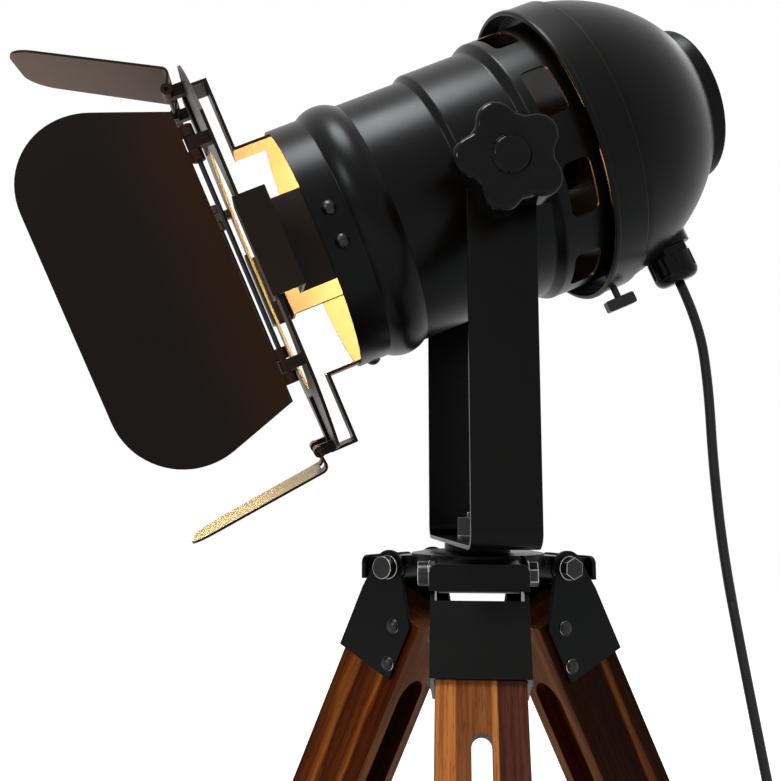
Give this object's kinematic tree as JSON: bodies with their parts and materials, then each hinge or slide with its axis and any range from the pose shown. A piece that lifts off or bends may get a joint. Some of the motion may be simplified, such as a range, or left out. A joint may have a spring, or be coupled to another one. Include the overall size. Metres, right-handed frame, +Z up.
{
  "type": "tabletop searchlight lamp",
  "caption": "Tabletop searchlight with barn doors on a wooden tripod with sliding legs; the head tilts in a yoke that pans on the hub",
  "frame": {"origin": "on the table plane, under the axis that the yoke pans about", "axes": "+Z up; the head points along -X; the tilt axis runs along Y"},
  "size_m": [0.4696, 0.3572, 0.6523],
  "materials": {
    "black_enamel": "satin black powder coat",
    "walnut": "oiled laminated hardwood",
    "black_plastic": "glossy black moulding",
    "rubber": "matt black rubber",
    "cable_black": "soft black cable sheath",
    "black_screw": "black oxide steel",
    "porcelain": "glazed lamp holder",
    "clear_glass": "clear lamp glass",
    "nickel": "nickel-plated brass"
  },
  "bodies": {
    "stand": {"hub": "black_enamel", "pan_bolt": "black_screw", "pan_washer": "black_enamel", "pan_nut": "black_screw", "leg_hinge_fasteners": "black_screw", "cord_lower": "cable_black", "cord_coil": "cable_black", "plug_body": "black_plastic", "plug_pins": "nickel", "switch_body": "black_plastic"},
    "rocker": {"switch_rocker": "black_plastic"},
    "yoke": {"yoke": "black_enamel", "tilt_washers": "black_enamel"},
    "head": {"can": "black_enamel", "tilt_bosses": "black_enamel", "rear_band": "black_enamel", "dome": "black_enamel", "end_cap": "black_enamel", "lamp_holder": "porcelain", "bulb_cap": "nickel", "bulb_glass": "clear_glass", "gland_body": "black_plastic", "gland_nut": "black_plastic", "end_clips": "black_enamel", "side_clips": "black_enamel", "clip_screws": "black_screw", "door_frame": "black_enamel", "hinge_pins": "black_screw", "cord_upper": "cable_black"},
    "tilt_knob_near": {"tilt_knob_near": "black_plastic"},
    "tilt_knob_far": {"tilt_knob_far": "black_plastic"},
    "thumb_screw": {"thumb_screw": "black_enamel"},
    "leaf_top": {"leaf_top": "black_enamel"},
    "leaf_near": {"leaf_near": "black_enamel"},
    "leaf_bottom": {"leaf_bottom": "black_enamel"},
    "leaf_far": {"leaf_far": "black_enamel"},
    "leg_front": {"leg_bracket_front": "black_enamel", "upper_leg_front": "walnut", "leg_guide_front": "black_enamel", "leg_screws_front": "black_screw"},
    "lower_leg_front": {"lower_leg_front": "walnut", "foot_front": "rubber"},
    "clamp_knob_front": {"clamp_knob_front": "black_plastic"},
    "leg_right": {"leg_bracket_right": "black_enamel", "upper_leg_right": "walnut", "leg_guide_right": "black_enamel", "leg_screws_right": "black_screw"},
    "lower_leg_right": {"lower_leg_right": "walnut", "foot_right": "rubber"},
    "clamp_knob_right": {"clamp_knob_right": "black_plastic"},
    "leg_left": {"leg_bracket_left": "black_enamel", "upper_leg_left": "walnut", "leg_guide_left": "black_enamel", "leg_screws_left": "black_screw"},
    "lower_leg_left": {"lower_leg_left": "walnut", "foot_left": "rubber"},
    "clamp_knob_left": {"clamp_knob_left": "black_plastic"}
  },
  "joints": [
    {"name": "pan", "type": "hinge", "parent": "stand", "child": "yoke", "pos_m": [0, 0, 0.3715], "axis": [0, 0, 1], "range_deg": [-90, 90], "deforming": ["cord_upper", "cord_lower"]},
    {"name": "tilt", "type": "hinge", "parent": "yoke", "child": "head", "pos_m": [0, 0, 0.537], "axis": [0, 1, 0], "range_deg": [-15, 60], "deforming": ["cord_upper", "cord_lower"]},
    {"name": "leg_fold_front", "type": "hinge", "parent": "stand", "child": "leg_front", "pos_m": [-0.0065, -0.03886, 0.3595], "axis": [0.9863, -0.165, 0], "range_deg": [0, 24]},
    {"name": "leg_slide_front", "type": "slide", "parent": "leg_front", "child": "lower_leg_front", "axis": [-0.0718, -0.4293, -0.9003], "range_m": [-0.1, 0.02]},
    {"name": "clamp_turn_front", "type": "hinge", "parent": "lower_leg_front", "child": "clamp_knob_front", "pos_m": [-0.0234, -0.13981, 0.16684], "axis": [-0.1486, -0.888, 0.4352], "continuous": true},
    {"name": "leg_fold_right", "type": "hinge", "parent": "stand", "child": "leg_right", "pos_m": [0.03691, 0.0138, 0.3595], "axis": [-0.3502, 0.9367, 0], "range_deg": [0, 24]},
    {"name": "leg_slide_right", "type": "slide", "parent": "leg_right", "child": "lower_leg_right", "axis": [0.4077, 0.1524, -0.9003], "range_m": [-0.1, 0.02]},
    {"name": "clamp_turn_right", "type": "hinge", "parent": "lower_leg_right", "child": "clamp_knob_right", "pos_m": [0.13278, 0.04964, 0.16684], "axis": [0.8433, 0.3153, 0.4352], "continuous": true},
    {"name": "leg_fold_left", "type": "hinge", "parent": "stand", "child": "leg_left", "pos_m": [-0.0304, 0.02506, 0.3595], "axis": [-0.6361, -0.7716, 0], "range_deg": [0, 24]},
    {"name": "leg_slide_left", "type": "slide", "parent": "leg_left", "child": "lower_leg_left", "axis": [-0.3358, 0.2768, -0.9003], "range_m": [-0.1, 0.02]},
    {"name": "clamp_turn_left", "type": "hinge", "parent": "lower_leg_left", "child": "clamp_knob_left", "pos_m": [-0.10938, 0.09017, 0.16684], "axis": [-0.6947, 0.5727, 0.4352], "continuous": true},
    {"name": "tilt_knob_turn_near", "type": "hinge", "parent": "head", "child": "tilt_knob_near", "pos_m": [0, -0.0723, 0.537], "axis": [0, -1, 0], "continuous": true},
    {"name": "tilt_knob_turn_far", "type": "hinge", "parent": "head", "child": "tilt_knob_far", "pos_m": [0, 0.0723, 0.537], "axis": [0, 1, 0], "continuous": true},
    {"name": "thumb_screw_turn", "type": "hinge", "parent": "head", "child": "thumb_screw", "pos_m": [0.07431, 0, 0.50416], "axis": [0.3995, 0, -0.9167], "continuous": true},
    {"name": "leaf_turn_top", "type": "hinge", "parent": "head", "child": "leaf_top", "pos_m": [-0.15515, -0.01308, 0.59012], "axis": [-0.0556, 0.9903, 0.1276], "range_deg": [-118, 22]},
    {"name": "leaf_turn_near", "type": "hinge", "parent": "head", "child": "leaf_near", "pos_m": [-0.11345, -0.08021, 0.49445], "axis": [0.3957, 0.1392, -0.9078], "range_deg": [-75, 97]},
    {"name": "leaf_turn_bottom", "type": "hinge", "parent": "head", "child": "leaf_bottom", "pos_m": [-0.08076, 0.01308, 0.41946], "axis": [0.0556, -0.9903, -0.1276], "range_deg": [-96, 44]},
    {"name": "leaf_turn_far", "type": "hinge", "parent": "head", "child": "leaf_far", "pos_m": [-0.12246, 0.08021, 0.51512], "axis": [-0.3957, -0.1392, 0.9078], "range_deg": [-75, 97]},
    {"name": "rocker_press", "type": "hinge", "parent": "stand", "child": "rocker", "pos_m": [0.2015, -0.12344, 0.0094], "axis": [0.866, -0.5, 0], "range_deg": [-16, 0]}
  ]
}
